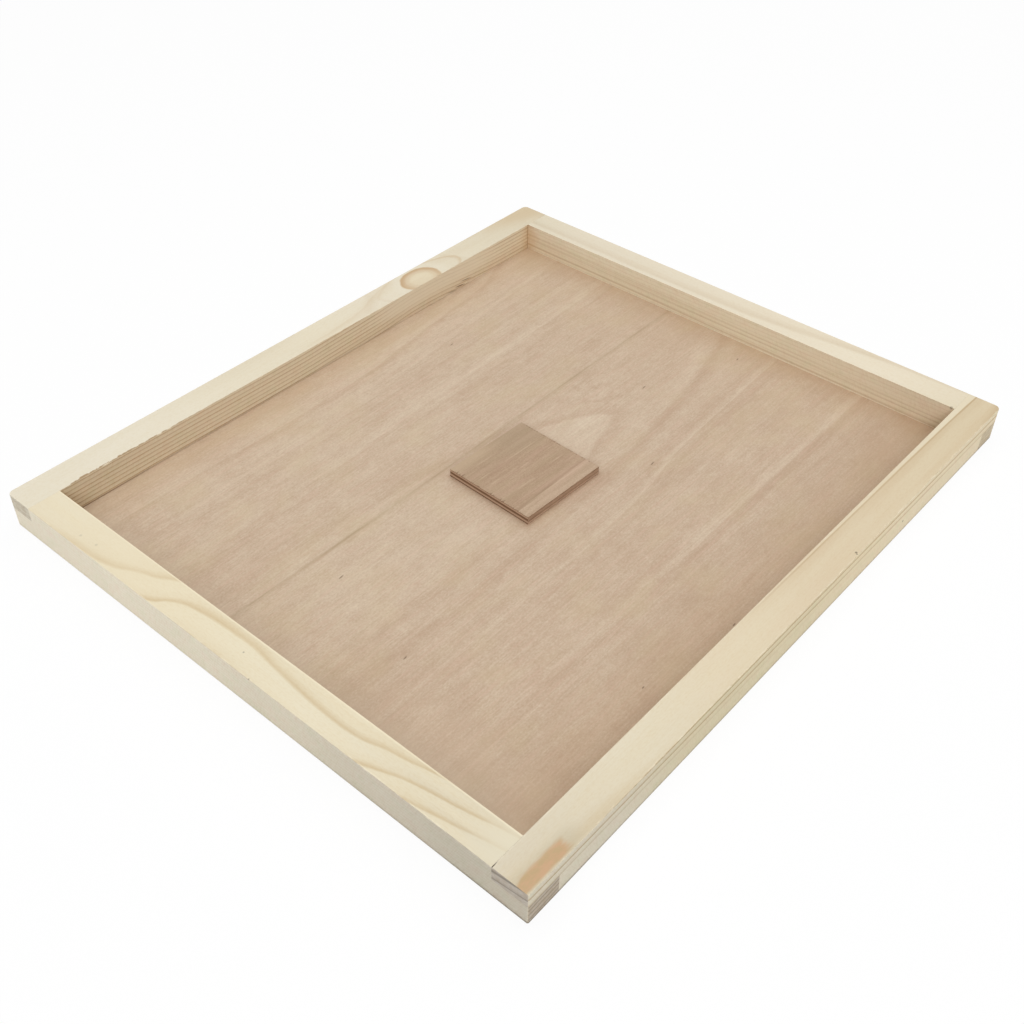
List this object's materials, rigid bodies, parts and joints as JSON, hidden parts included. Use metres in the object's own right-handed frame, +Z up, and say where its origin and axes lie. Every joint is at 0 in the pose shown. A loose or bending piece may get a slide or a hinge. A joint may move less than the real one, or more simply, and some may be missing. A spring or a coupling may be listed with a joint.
{
  "type": "hive inner cover",
  "caption": "Shallow half-lapped wooden frame with a recessed plywood panel and a loose square cover over its feed hole, laid between a beehive's combs and its roof.",
  "frame": {"origin": "centre of the underside, where the cover rests on the hive body", "axes": "+X to the right along the front rail, +Y from the front rail to the rear rail, +Z up through the feed hole"},
  "size_m": [0.43, 0.5, 0.025],
  "materials": {
    "rail_wood": "planed, untreated softwood",
    "panel_plywood": "sanded plywood, pinkish face veneer",
    "cover_plywood": "sawn plywood, brown face veneer",
    "staple_wire": "galvanised wire"
  },
  "bodies": {
    "frame": {"front_rail": "rail_wood", "rear_rail": "rail_wood", "left_rail": "rail_wood", "right_rail": "rail_wood", "panel": "panel_plywood", "corner_staples": "staple_wire", "panel_staples": "staple_wire"},
    "cover": {"feed_hole_cover": "cover_plywood"}
  },
  "joints": [
    {"name": "cover_lift", "type": "slide", "parent": "frame", "child": "cover", "axis": [0, 0, 1], "range_m": [0, 0.1]}
  ]
}
